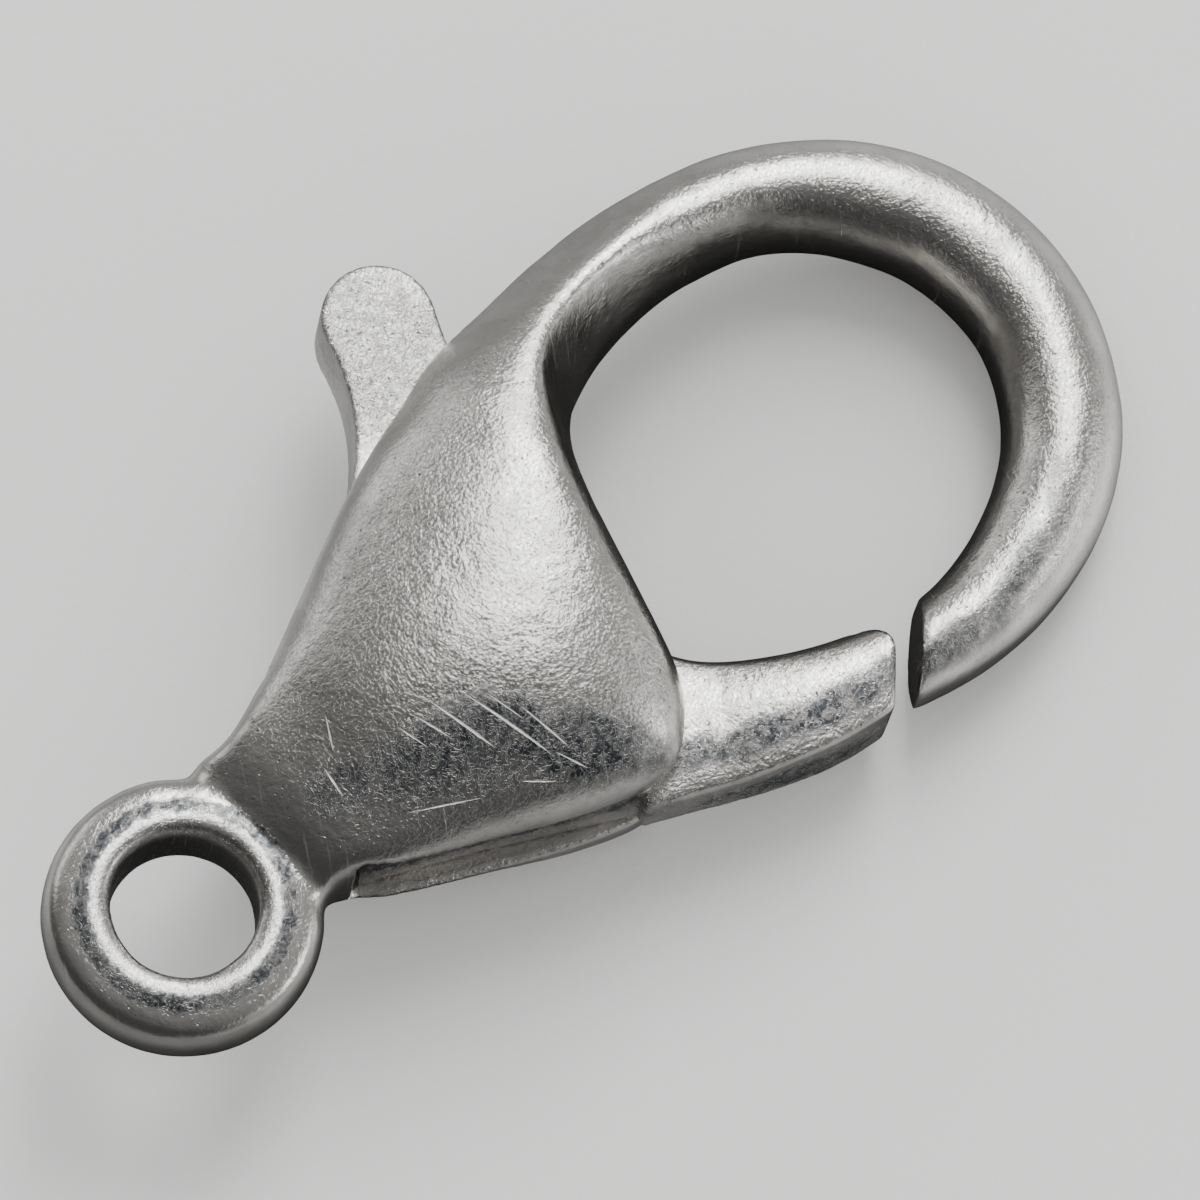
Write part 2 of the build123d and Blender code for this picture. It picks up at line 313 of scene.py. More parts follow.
def lying():
    """The matrix that lays the clasp, drawn round its bore, as the frame's solids lie."""
    up = Vector(BORE_MOUNT["axis"]).normalized()
    centre = Vector(BORE_MOUNT["pos_m"])
    drawn = at(*PIVOT)
    along = (Vector(HINGE["pos_m"]) - centre).normalized()
    along = Matrix.Rotation(-atan2(drawn.y, drawn.x), 3, up) @ along
    turn = Matrix((along, up.cross(along), up)).transposed()
    return Matrix.Translation(centre) @ turn.to_4x4()


def trim_at_floor(piece):
    """Cuts away what would lie below the floor."""
    back = lying().inverted()
    only(piece, "EDIT")
    bpy.ops.mesh.bisect(
        plane_co=back @ Vector((0, 0, 0)), plane_no=back.to_3x3() @ Vector((0, 0, 1)),
        use_fill=True, clear_inner=True, threshold=MM * MM,
    )
    only(piece)


def turned(way, reach=1.0):
    """A level step of so much reach, its way from X in degrees."""
    return Vector((cos(radians(way)), sin(radians(way)), 0)) * reach


def hook_end():
    """The inner corner of the hook's end, the way across its bar, and on to the gate."""
    inner, outer = at(*HOOK_END_INNER), at(*HOOK_END_OUTER)
    across = (outer - inner).normalized()
    return inner, across, Vector((across.y, -across.x, 0))


# Outlines and solids


def quarter(reach, height, wall, turn, edge=0):
    """Points up one side of an arched section, from its wall to just before its crown. edge
    is the way in degrees that the side has already turned where it leaves the wall."""
    level, upright = cos(radians(turn)), sin(radians(turn))
    out, up = cos(radians(edge)), sin(radians(edge))
    spread = (upright - up) * level - (1 - upright) * (out - level)
    side = (level * (height - wall) - (1 - upright) * reach) / spread
    crown = (reach - side * (out - level)) / level
    points = [(reach, 0.0)]
    for step in range(ARC_STEPS):
        way = radians(edge + (turn - edge) * step / ARC_STEPS)
        points.append((reach + side * (cos(way) - out), wall + side * (sin(way) - up)))
    for step in range(ARC_STEPS):
        way = radians(turn + (90 - turn) * step / ARC_STEPS)
        points.append((crown * cos(way), height - crown + crown * sin(way)))
    return points


def arched_outline(breadth, crown_at, height, walls, turns, edges=(0, 0)):
    """Points round a section whose outer side is at +x and whose faces are alike. walls,
    turns and edges hold the outer side's value, then the inner side's."""
    middle = breadth * (0.5 - crown_at)
    outer = quarter(breadth / 2 - middle, height, walls[0], turns[0], edges[0])
    inner = quarter(breadth / 2 + middle, height, walls[1], turns[1], edges[1])
    upper = [(middle + x, z) for x, z in outer] + [(middle, height)]
    upper += [(middle - x, z) for x, z in reversed(inner)]
    lower = [(x, -z) for x, z in reversed(upper[1:-1])]
    return upper + lower


def smooth_rows(rows, steps):
    """The rows with more between them, on smooth curves through them all."""
    made = []
    last = len(rows) - 1
    for index in range(last):
        before, start = rows[max(index - 1, 0)], rows[index]
        end, after = rows[index + 1], rows[min(index + 2, last)]
        for step in range(steps):
            t = step / steps
            made.append(
                tuple(
                    0.5 * (
                        2 * b + (c - a) * t + (2 * a - 5 * b + 4 * c - d) * t * t
                        + (3 * b - a - 3 * c + d) * t * t * t
                    )
                    for a, b, c, d in zip(before, start, end, after)
                )
            )
    return made + [rows[last]]


def standing(points, middle, out):
    """Section points stood upright at a point of the plan, their x along the way out."""
    return [middle + out * x + Vector((0, 0, z)) for x, z in points]


def only(piece, mode="OBJECT"):
    """Selects one piece alone and leaves it in the mode asked for."""
    if bpy.context.mode != "OBJECT":
        bpy.ops.object.mode_set(mode="OBJECT")
    bpy.ops.object.select_all(action="DESELECT")
    piece.select_set(True)
    bpy.context.view_layer.objects.active = piece
    if mode != "OBJECT":
        bpy.ops.object.mode_set(mode=mode)
        bpy.ops.mesh.select_all(action="SELECT")


def outline_piece(name, points, filled=True):
    """A flat outline, from a circle whose corners are set on the points."""
    bpy.ops.object.select_all(action="DESELECT")
    bpy.ops.mesh.primitive_circle_add(
        vertices=len(points), radius=MM, fill_type="NGON" if filled else "NOTHING"
    )
    piece = bpy.context.object
    piece.name = name
    for corner, point in zip(piece.data.vertices, points):
        corner.co = point
    return piece


def loft_piece(name, stations):
    """A skin through closed outlines that have as many points each, capped at both ends."""
    piece = outline_piece(name, stations[0])
    only(piece, "EDIT")
    mesh = bmesh.from_edit_mesh(piece.data)
    place = mesh.verts.layers.int.new("place")
    for index, corner in enumerate(mesh.verts):
        corner[place] = index
    bmesh.update_edit_mesh(piece.data)
    for station in stations[1:]:
        bpy.ops.mesh.extrude_region_move()
        mesh = bmesh.from_edit_mesh(piece.data)
        place = mesh.verts.layers.int["place"]
        for corner in mesh.verts:
            if corner.select:
                corner.co = station[corner[place]]
        bmesh.update_edit_mesh(piece.data)
    bpy.ops.mesh.select_all(action="SELECT")
    bpy.ops.mesh.normals_make_consistent(inside=False)
    only(piece)
    return piece


def spun_piece(name, points, centre, turns=1.0):
    """An upright outline turned about an upright axis, all the way or part of a turn."""
    piece = outline_piece(name, points, filled=turns < 1)
    only(piece, "EDIT")
    bpy.ops.mesh.spin(
        steps=round(turns * RING_SIDES), angle=turns * 2 * pi, center=centre, axis=(0, 0, 1)
    )
    bpy.ops.mesh.select_all(action="SELECT")
    bpy.ops.mesh.remove_doubles(threshold=0.0001 * MM)
    bpy.ops.mesh.normals_make_consistent(inside=False)
    only(piece)
    return piece


def slab_piece(name, points, low, high, corners=()):
    """A plan with straight walls between two heights. corners hold (index, radius)."""
    level = [Vector((p.x, p.y, low)) for p in points]
    count = len(level)
    rounded = []
    for index, point in enumerate(level):
        radius = dict(corners).get(index)
        if radius is None:
            rounded.append(point)
            continue
        back = (level[index - 1] - point).normalized()
        on = (level[(index + 1) % count] - point).normalized()
        half = back.angle(on) / 2
        centre = point + (back + on).normalized() * radius / sin(half)
        first = point + back * radius / tan(half) - centre
        sweep = first.to_2d().angle_signed((point + on * radius / tan(half) - centre).to_2d())
        for step in range(ARC_STEPS + 1):
            turn = Matrix.Rotation(-sweep * step / ARC_STEPS, 3, "Z")
            rounded.append(centre + turn @ first)
    piece = outline_piece(name, rounded)
    only(piece, "EDIT")
    bpy.ops.mesh.extrude_region_move(TRANSFORM_OT_translate={"value": (0, 0, high - low)})
    bpy.ops.mesh.select_all(action="SELECT")
    bpy.ops.mesh.normals_make_consistent(inside=False)
    only(piece)
    return piece


def rod_piece(name, centre, radius, low, high):
    """A round bar between two heights."""
    bpy.ops.object.select_all(action="DESELECT")
    bpy.ops.mesh.primitive_cylinder_add(
        vertices=ROD_SIDES, radius=radius, depth=high - low,
        location=(centre.x, centre.y, (low + high) / 2),
    )
    piece = bpy.context.object
    piece.name = name
    bpy.ops.object.transform_apply(location=True, rotation=True, scale=True)
    return piece


def change(piece, kind, **settings):
    """Puts one modifier on a piece and applies it."""
    only(piece)
    step = piece.modifiers.new(kind.lower(), kind)
    for name, value in settings.items():
        setattr(step, name, value)
    bpy.ops.object.modifier_apply(modifier=step.name)


def cut(piece, cutter, operation="DIFFERENCE"):
    """Takes the cutter away from a piece, or keeps what lies inside it."""
    change(piece, "BOOLEAN", operation=operation, object=cutter, solver="EXACT")
    bpy.data.meshes.remove(cutter.data)


def joined(name, *solids):
    """Several solids as one object, the first of them."""
    only(solids[0])
    for solid in solids[1:]:
        solid.select_set(True)
    bpy.ops.object.join()
    solids[0].name = name
    return solids[0]


def reskin(piece, grid, passes):
    """One even skin over a piece, its edges eased as a casting's are."""
    change(piece, "REMESH", mode="VOXEL", voxel_size=grid, adaptivity=0.0)
    change(piece, "SMOOTH", factor=SMOOTHING, iterations=passes)


def eased(piece, centre, reach, passes):
    """Softens a skin round an upright line, less and less out to its reach."""
    group = piece.vertex_groups.new(name="eased")
    for corner in piece.data.vertices:
        away = (corner.co - centre).to_2d().length / reach
        if away < 1:
            group.add([corner.index], 1 - away * away, "REPLACE")
    change(piece, "SMOOTH", factor=SMOOTHING, iterations=passes, vertex_group="eased")
    piece.vertex_groups.clear()


def soft_dents(piece, depth, size):
    """Shallow dents and swells pressed into a skin."""
    texture = bpy.data.textures.new("casting_dents", "CLOUDS")
    texture.noise_scale = size
    texture.noise_depth = 2
    texture.noise_basis = "ORIGINAL_PERLIN"
    change(
        piece, "DISPLACE", texture=texture, strength=depth, mid_level=0.5,
        texture_coords="LOCAL",
    )


def finished(piece, body, node, material):
    """Dresses a finished piece and sets it on the body that it moves with."""
    only(piece)
    piece.matrix_world = lying()
    bpy.ops.object.transform_apply(location=True, rotation=True, scale=True)
    bpy.ops.object.shade_smooth_by_angle(angle=radians(40))
    piece.data.materials.clear()
    piece.data.materials.append(material)
    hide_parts(node)
    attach(piece, body)
    return piece


# The pieces, each with the operator that builds it


def sized_rows(rows, breadth, height, edge):
    """Section rows with their breadth, half height and edge slope as real sizes."""
    return [
        (along, across, turn, wide * breadth, high * height / 2, wall, side, crown, edge)
        for along, across, turn, wide, high, wall, side, crown in rows
    ]


def skin_piece():
    """Cheeks and hook before the slot is cut, which body and pin share."""
    size = sizes()
    rows = sized_rows(CHEEK_ROWS, size.belly_width, size.body_height, size.cheek_edge)
    rows += sized_rows(HOOK_ROWS, size.hook_bar, size.hook_height, size.hook_edge)
    stations = []
    for along, across, turn, breadth, height, wall, side, crown, edge in smooth_rows(rows, 5):
        outline = arched_outline(
            breadth, crown, height, (wall * height,) * 2, (side,) * 2, (degrees(edge),) * 2
        )
        stations.append(standing(outline, at(along, across), turned(turn)))
    return loft_piece("skin", stations)


def ring_pieces():
    """The ring and the shoulder that leads from it into the neck."""
    size = sizes()
    wall = size.ring_radius - size.bore_radius
    upper = [
        (size.bore_radius + out * wall, up * size.ring_height / 2)
        for out, up in smooth_rows(RING_SECTION, 3)
    ]
    outline = upper + [(out, -up) for out, up in reversed(upper[1:-1])]
    ring = spun_piece("ring", standing(outline, Vector(), turned(0)), Vector())
    outline = arched_outline(
        size.shoulder_wall, SHOULDER_CROWN, size.shoulder_height / 2,
        (size.shoulder_land / 2,) * 2, (SHOULDER_TURN,) * 2,
    )
    way = degrees(size.shoulder_angle)
    centre = turned(way, size.shoulder_shift)
    out = turned(way - 90)
    middle = centre + out * (size.shoulder_radius - size.shoulder_wall / 2)
    shoulder = spun_piece("shoulder", standing(outline, middle, out), centre, 0.5)
    return ring, shoulder


class CLASP_OT_cast_body(bpy.types.Operator):
    """Builds the cast body: ring, cheeks and hook in one, with its slot"""

    bl_idname = "clasp.cast_body"
    bl_label = "Cast body"

    def execute(self, context):
        size = sizes()
        reach = size.body_width
        half_slot = size.slot_height / 2
        body = joined("clasp_body_skin", skin_piece(), *ring_pieces())
        reskin(body, size.rough_grid, 3)
        for point in RING_FILLETS:
            eased(body, at(*point), size.fillet_reach, FILLET_PASSES)
        cut(body, rod_piece("bore", Vector(), size.bore_radius, -reach, reach))
        slot = slab_piece(
            "slot", [at(*point) for point in SLOT_PLAN], -half_slot, half_slot,
            [(bend, size.slot_corner) for bend in SLOT_BENDS],
        )
        cut(body, slot)
        inner, across, on = hook_end()
        start = inner - across * size.hook_bar / 2
        end = start + across * size.hook_bar * 2
        past = on * size.hook_bar * 1.1
        cut(body, slab_piece("hook_end", [start, end, end + past, start + past], -reach, reach))
        reskin(body, size.casting_grid, 4)
        eased(body, at(*HOOK_CORNER), size.corner_reach, CORNER_PASSES)
        soft_dents(body, size.dent_depth, size.dent_size)
        hole = size.pin_radius + size.pin_seam
        cut(body, rod_piece("pin_hole", at(*PIVOT), hole, -reach, half_slot + size.pin_depth))
        trim_at_floor(body)
        finished(body, "body", "clasp_body", body_plate())
        return {"FINISHED"}


class CLASP_OT_gate_lever(bpy.types.Operator):
    """Builds the lever: plate in the slot, gate and thumb tab in one"""

    bl_idname = "clasp.gate_lever"
    bl_label = "Gate lever"

    def execute(self, context):
        size = sizes()
        half = size.slot_height / 2 - size.lever_clearance
        stations = []
        for along, across, turn, breadth, height, outer, inner, crown in smooth_rows(GATE_ROWS, 5):
            rise = height * size.gate_height / 2
            outline = arched_outline(
                breadth * size.gate_width, crown, rise, (outer * rise, inner * rise),
                GATE_TURNS, GATE_EDGES,
            )
            stations.append(standing(outline, at(along, across), turned(turn)))
        gate = loft_piece("gate", stations)
        inner, across, on = hook_end()
        window = [inner + (across * x + on * y) * size.gate_width for x, y in GATE_WINDOW]
        trim = slab_piece(
            "window", window, -size.gate_height, size.gate_height,
            [
                (WINDOW_INNER_CORNER, size.gate_inner_corner),
                (WINDOW_OUTER_CORNER, size.gate_outer_corner),
            ],
        )
        cut(gate, trim, "INTERSECT")
        plate = slab_piece("plate", [at(*point) for point in PLATE_PLAN], -half, half)
        lever = joined("gate_lever_skin", gate, plate, tab_piece(half))
        reskin(lever, size.lever_grid, 2)
        hole = size.pin_radius + size.pin_gap
        reach = size.body_width
        cut(lever, rod_piece("pin_bore", at(*PIVOT), hole, -reach, reach))
        reskin(lever, size.lever_grid, 3)
        soft_dents(lever, size.lever_dent_depth, size.lever_dent_size)
        finished(lever, "lever", "gate_lever", lever_plate())
        return {"FINISHED"}


def tab_piece(half):
    """The thumb tab, a pad with a rounded rim."""
    size = sizes()
    way = degrees(size.tab_angle)
    centre = at(*TAB_ROOT) + turned(way, size.tab_length)
    plan = []
    for step in range(TAB_HEAD_STEPS + 1):
        bearing = way - TAB_HEAD_TURN + 2 * TAB_HEAD_TURN * step / TAB_HEAD_STEPS
        plan.append(centre + turned(bearing, size.tab_radius))
    start, end = plan[-1], at(*TAB_ROOT_LEFT)
    on = turned(way + TAB_HEAD_TURN + 90)
    side = Vector((-on.y, on.x, 0))
    bend = (end - start).length_squared / (2 * side.dot(end - start))
    hub = start + side * bend
    first, last = (start - hub).to_2d(), (end - hub).to_2d()
    sweep = -first.angle_signed(last)
    for step in range(1, TAB_FLANK_STEPS + 1):
        turn = Matrix.Rotation(sweep * step / TAB_FLANK_STEPS, 3, "Z")
        plan.append(hub + turn @ (start - hub))
    plan += [at(*point) for point in TAB_FOOT]
    tab = slab_piece("tab", plan, -half, half)
    only(tab, "EDIT")
    bpy.ops.mesh.select_all(action="DESELECT")
    mesh = bmesh.from_edit_mesh(tab.data)
    for edge in mesh.edges:
        edge.select = abs(edge.verts[0].co.z - edge.verts[1].co.z) < 0.001 * MM
    bmesh.update_edit_mesh(tab.data)
    bpy.ops.mesh.bevel(
        offset=size.tab_edge, segments=TAB_RIM_STEPS, affect="EDGES", clamp_overlap=True
    )
    only(tab)
    return tab


class CLASP_OT_pivot_pin(bpy.types.Operator):
    """Builds the pivot pin, flush with the back cheek's dome"""

    bl_idname = "clasp.pivot_pin"
    bl_label = "Pivot pin"

    def execute(self, context):
        size = sizes()
        top = size.slot_height / 2 + size.pin_depth - size.pin_seam
        pin = rod_piece("pivot_pin_skin", at(*PIVOT), size.pin_radius, -size.body_width, top)
        cut(pin, skin_piece(), "INTERSECT")
        trim_at_floor(pin)
        reskin(pin, size.pin_grid, 3)
        finished(pin, "body", "pivot_pin", pin_plate())
        return {"FINISHED"}


class CLASP_OT_return_spring(bpy.types.Operator):
    """Dresses the bent strip that pushes the lever shut"""

    bl_idname = "clasp.return_spring"
    bl_label = "Return spring"

    def execute(self, context):
        spring = frame["nodes"]["return_spring"]
        spring.data.materials.clear()
        spring.data.materials.append(spring_steel())
        return {"FINISHED"}


# Dark patches of the casting: real tarnish, and painted dark reflection where the polished
# plate mirrors its dim surroundings. centre and reach are millimetres round the bore, turn is
# their slant in degrees, and tarnish is how much of the plate's shine they take.
BODY_PATCHES = (
    # centre, reach, turn, tarnish
    ((1.74, -0.05, 1.0), (0.40, 0.26, 0.9), -20, 0.80),
    ((2.40, -0.36, 1.2), (0.60, 0.36, 0.9), -24, 0.92),
    ((3.06, -0.60, 1.3), (0.60, 0.44, 0.9), -30, 1.00),
    ((3.66, -1.12, 1.2), (0.62, 0.36, 0.9), -34, 0.95),
    ((4.12, -1.47, 1.1), (0.34, 0.20, 0.9), -32, 0.70),
)
# Dark bands along the hook's flanks, tarnish and painted dark reflection
HOOK_PATCHES = (
    ((7.20, -2.24, 0.7), (0.62, 0.17, 0.6), -6, 0.75),
    ((8.10, -2.12, 0.7), (0.70, 0.15, 0.6), 24, 0.75),
    ((8.95, -1.72, 0.7), (0.50, 0.13, 0.6), 44, 0.45),
)
# Dark patches of the lever. The first four lay a band of tarnish and painted dark reflection along the gate
GATE_PATCHES = (
    ((4.60, -1.62, 0.5), (0.50, 0.15, 0.5), -22, 1.00),
    ((5.30, -1.90, 0.5), (0.62, 0.17, 0.5), -16, 1.00),
    ((6.05, -2.08, 0.5), (0.60, 0.17, 0.5), -8, 1.00),
    ((6.60, -2.10, 0.5), (0.34, 0.14, 0.5), 2, 0.80),
    # Painted shade that dims the thumb tab's flat face
    ((4.80, 3.20, 0.4), (0.80, 1.10, 0.7), 0, 0.50),
    # Painted shadow of the front cheek over the upper half of the plate's side
    ((2.50, -1.00, 0.14), (1.80, 0.50, 0.32), -22, 1.60),
    # Painted dark reflection on the gate's lower outer wall
    ((5.60, -2.50, -0.06), (1.70, 0.34, 0.36), -14, 1.20),
)

# Single scratches on the front cheek, in millimetres round the bore
SCRATCHES = (
    # start, end, width
    ((1.72, 0.20), (1.70, -0.12), 0.014),
    ((2.01, 0.56), (1.87, 0.26), 0.012),
    ((2.78, 0.04), (3.01, -0.66), 0.020),
    ((3.06, -0.10), (3.40, -1.02), 0.022),
    ((3.40, -0.50), (3.56, -1.04), 0.014),
    ((3.43, -1.00), (3.60, -1.28), 0.016),
    ((2.42, 0.05), (2.53, -0.28), 0.011),
    ((2.60, 0.02), (2.74, -0.34), 0.010),
    ((3.22, -0.22), (3.36, -0.62), 0.010),
    ((2.06, -0.60), (2.66, -0.90), 0.007),
    ((3.05, -1.02), (3.30, -1.20), 0.010),
)

# Dark bands round the bore: the outer one tarnish and painted dark reflection, the inner one
# painted shade that dims the bead's highlight
RING_BANDS = (
    # radius, half width, tarnish
    (0.955, 0.085, 0.90),
    # Painted shade over the bead's crest, dimming its broad highlight
    (0.82, 0.170, 0.34),
)

# How far noise frays the patches, in shares of their reach, and the bands, in millimetres
PATCH_FRAY = 1.5
BAND_FRAY = 0.17

# How much of a single scratch a hairline is, and what a scratch does to the plate
HAIRLINE = 0.12
CUT_ROUGHNESS = 0.30
CUT_METALLIC = -0.3

# Relief of scratches, pits and bare ridges, in shares of the grain's depth
CUT_DEPTH = 0.6
PIT_DEPTH = 0.4
RIDGE_HEIGHT = 1.4

# How far the tarnish with its painted shade and the soil cover the plate, and how its colour
# varies
TARNISH_AND_SHADE_COVER = 1.12
SOIL_COVER = 0.7
DULL_PLATE = 0.80
# How much lighter scratches are, a painted glint
CUT_GLINT = 1.2


# Helpers for shader nodes


def node(tree, kind, sockets=(), **settings):
    """A shader node with its settings, each socket given a value or joined to another."""
    made = tree.nodes.new("ShaderNode" + kind)
    for name, value in settings.items():
        setattr(made, name, value)
    for key, value in dict(sockets).items():
        if isinstance(value, bpy.types.NodeSocket):
            tree.links.new(value, made.inputs[key])
        else:
            made.inputs[key].default_value = value
    return made


def maths(tree, operation, *values):
    """The result of one sum on numbers."""
    return node(tree, "Math", enumerate(values), operation=operation).outputs[0]


def product(tree, result, *others):
    """Numbers multiplied together."""
    for other in others:
        result = maths(tree, "MULTIPLY", result, other)
    return result


def vectors(tree, operation, *values):
    """The results of one sum on vectors, by name."""
    return node(tree, "VectorMath", enumerate(values), operation=operation).outputs


def noise(tree, place, scale, detail=2.0, distortion=0.0, roughness=0.55):
    """Clouds of values round a half, so many to a unit of the place."""
    sockets = {
        "Vector": place, "Scale": scale, "Detail": detail, "Distortion": distortion,
        "Roughness": roughness,
    }
    return node(tree, "TexNoise", sockets).outputs["Fac"]


def ramp(tree, value, low, high, start=0.0, end=1.0):
    """Turns a value smoothly from start to end as it goes from low to high."""
    sockets = {"Value": value, "From Min": low, "From Max": high, "To Min": start, "To Max": end}
    made = node(tree, "MapRange", sockets, interpolation_type="SMOOTHSTEP")
    return made.outputs["Result"]


def blend(tree, share, first, second):
    """Mixes two colours."""
    made = node(tree, "Mix", {0: share, 6: first, 7: second}, data_type="RGBA")
    return made.outputs[2]


def toned(base, factor=1.0):
    """A colour made lighter or darker, as a socket takes it."""
    return tuple(min(1, channel * factor) for channel in base) + (1,)


def flattened(tree, place):
    """Places moved to the plane of the clasp's plan."""
    return vectors(tree, "MULTIPLY", place, (1, 1, 0))["Vector"]


def turned_back(tree, place, turn):
    """Places turned back by an angle about the clasp's upright."""
    sockets = {"Vector": place, "Angle": maths(tree, "MULTIPLY", turn, -1.0)}
    return node(tree, "VectorRotate", sockets, rotation_type="Z_AXIS").outputs["Vector"]


def clasp_place(tree):
    """Places in the clasp's own axes, in millimetres from the middle of the bore."""
    laid = lying()
    sockets = {
        "Vector": node(tree, "TexCoord").outputs["Object"],
        "Location": laid.translation,
        "Rotation": laid.to_euler(),
        "Scale": (MM, MM, MM),
    }
    return node(tree, "Mapping", sockets, vector_type="TEXTURE").outputs[0]


def emboss(tree, shader, height, depth, strength=1.0):
    """Feeds a relief of so much depth to a shader's normal."""
    bump = node(tree, "Bump", {"Strength": strength, "Distance": depth, "Height": height})
    tree.links.new(bump.outputs["Normal"], shader.inputs["Normal"])


def new_material(name):
    """A material with its node tree and its shader."""
    material = bpy.data.materials.new(name)
    material.use_nodes = True
    return material, material.node_tree, material.node_tree.nodes["Principled BSDF"]


def new_group(name, inputs, outputs):
    """A node group with named sockets, and its input and output nodes."""
    tree = bpy.data.node_groups.new(name, "ShaderNodeTree")
    for label, kind, value in inputs:
        socket = tree.interface.new_socket(label, in_out="INPUT", socket_type="NodeSocket" + kind)
        if value is not None:
            socket.default_value = value
    for label in outputs:
        tree.interface.new_socket(label, in_out="OUTPUT", socket_type="NodeSocketFloat")
    given = tree.nodes.new("NodeGroupInput")
    given_back = tree.nodes.new("NodeGroupOutput")
    return tree, given.outputs, given_back.inputs


def placed(tree, name, **sockets):
    """A group placed in a material. An underscore stands for a space in a socket's name."""
    group = bpy.data.node_groups[name]
    named = {label.replace("_", " "): value for label, value in sockets.items()}
    return node(tree, "Group", node_tree=group, sockets=named).outputs


# Effects that the materials share


def cast_grain():
    """The fine crinkle of a plated casting, its open pits and its broad swells."""
    tree, given, back = new_group(
        "cast_grain",
        (("Place", "Vector", None), ("Grain", "Float", 0.05), ("Swell", "Float", 0.5)),
        ("Height", "Pits", "Clouds"),
    )
    place = given["Place"]
    fine = maths(tree, "DIVIDE", 1.0, given["Grain"])
    broad = maths(tree, "DIVIDE", 1.0, given["Swell"])
    crinkle = noise(tree, place, fine, detail=4.0, distortion=0.8, roughness=0.65)
    coarse = noise(tree, place, maths(tree, "MULTIPLY", fine, 0.30), distortion=0.4)
    height = maths(tree, "ADD", crinkle, maths(tree, "MULTIPLY", coarse, 1.5))
    tree.links.new(height, back["Height"])
    holes = noise(tree, place, maths(tree, "MULTIPLY", fine, 0.9), detail=1.0, distortion=0.3)
    tree.links.new(ramp(tree, holes, 0.33, 0.25), back["Pits"])
    tree.links.new(noise(tree, place, broad, detail=3.0, distortion=0.4), back["Clouds"])


def worm_lines():
    """Short curly ridges, as plate shows where it wore thin."""
    tree, given, back = new_group(
        "worm_lines", (("Place", "Vector", None), ("Spacing", "Float", 0.1)), ("Lines",)
    )
    scale = maths(tree, "DIVIDE", 1.0, given["Spacing"])
    value = noise(tree, given["Place"], scale, detail=1.0, distortion=1.4)
    away = maths(tree, "ABSOLUTE", maths(tree, "SUBTRACT", value, 0.5))
    tree.links.new(ramp(tree, away, 0.045, 0.008), back["Lines"])


# Mask of the dark patches, which hold tarnish and painted shade and reflection
def wear_and_shade_patch():
    """An oval patch with a frayed edge."""
    tree, given, back = new_group(
        "wear_and_shade_patch",
        (
            ("Place", "Vector", None), ("Centre", "Vector", (0, 0, 0)),
            ("Reach", "Vector", (1, 1, 1)), ("Turn", "Float", 0.0), ("Fray", "Float", 0.6),
        ),
        ("Mask",),
    )
    off = vectors(tree, "SUBTRACT", given["Place"], given["Centre"])["Vector"]
    level = turned_back(tree, off, given["Turn"])
    far = vectors(tree, "LENGTH", vectors(tree, "DIVIDE", level, given["Reach"])["Vector"])
    clouds = noise(tree, given["Place"], 4.0, detail=7.0, distortion=0.4, roughness=0.75)
    broken = maths(tree, "SUBTRACT", clouds, 0.5)
    edge = maths(tree, "MULTIPLY_ADD", broken, given["Fray"], far["Value"])
    tree.links.new(ramp(tree, edge, 1.35, 0.55), back["Mask"])


def ring_band():
    """A frayed band at one distance from the bore's axis."""
    tree, given, back = new_group(
        "ring_band",
        (
            ("Place", "Vector", None), ("Radius", "Float", 1.0), ("Half Width", "Float", 0.1),
            ("Fray", "Float", 0.1),
        ),
        ("Mask",),
    )
    far = vectors(tree, "LENGTH", flattened(tree, given["Place"]))["Value"]
    clouds = noise(tree, given["Place"], 7.0, detail=4.0, distortion=0.4, roughness=0.7)
    broken = maths(tree, "SUBTRACT", clouds, 0.5)
    frayed = maths(tree, "MULTIPLY_ADD", broken, given["Fray"], far)
    off = maths(tree, "ABSOLUTE", maths(tree, "SUBTRACT", frayed, given["Radius"]))
    share = maths(tree, "DIVIDE", off, given["Half Width"])
    tree.links.new(ramp(tree, share, 1.2, 0.6), back["Mask"])


def scratch_line():
    """One straight scratch on the front face, fine at both ends."""
    tree, given, back = new_group(
        "scratch_line",
        (
            ("Place", "Vector", None), ("Start", "Vector", (0, 0, 0)),
            ("End", "Vector", (1, 0, 0)), ("Width", "Float", 0.02),
        ),
        ("Mask",),
    )
    flat = flattened(tree, given["Place"])
    wander = noise(tree, given["Place"], 5.0)
    off = vectors(tree, "SUBTRACT", flat, given["Start"])["Vector"]
    way = vectors(tree, "SUBTRACT", given["End"], given["Start"])["Vector"]
    run = vectors(tree, "DOT_PRODUCT", off, way)["Value"]
    whole = vectors(tree, "DOT_PRODUCT", way, way)["Value"]
    share = node(tree, "Clamp", {"Value": maths(tree, "DIVIDE", run, whole)}).outputs[0]
    nearest = vectors(tree, "MULTIPLY_ADD", way, share, given["Start"])["Vector"]
    far = vectors(tree, "DISTANCE", flat, nearest)["Value"]
    ends = product(tree, share, 4.0, maths(tree, "SUBTRACT", 1.0, share))
    width = product(tree, given["Width"], ends, wander)
    close = maths(tree, "DIVIDE", far, maths(tree, "ADD", width, 0.0001))
    height = node(tree, "SeparateXYZ", {"Vector": given["Place"]}).outputs["Z"]
    front = maths(tree, "GREATER_THAN", height, 0.0)
    tree.links.new(product(tree, ramp(tree, close, 1.6, 0.6), front), back["Mask"])


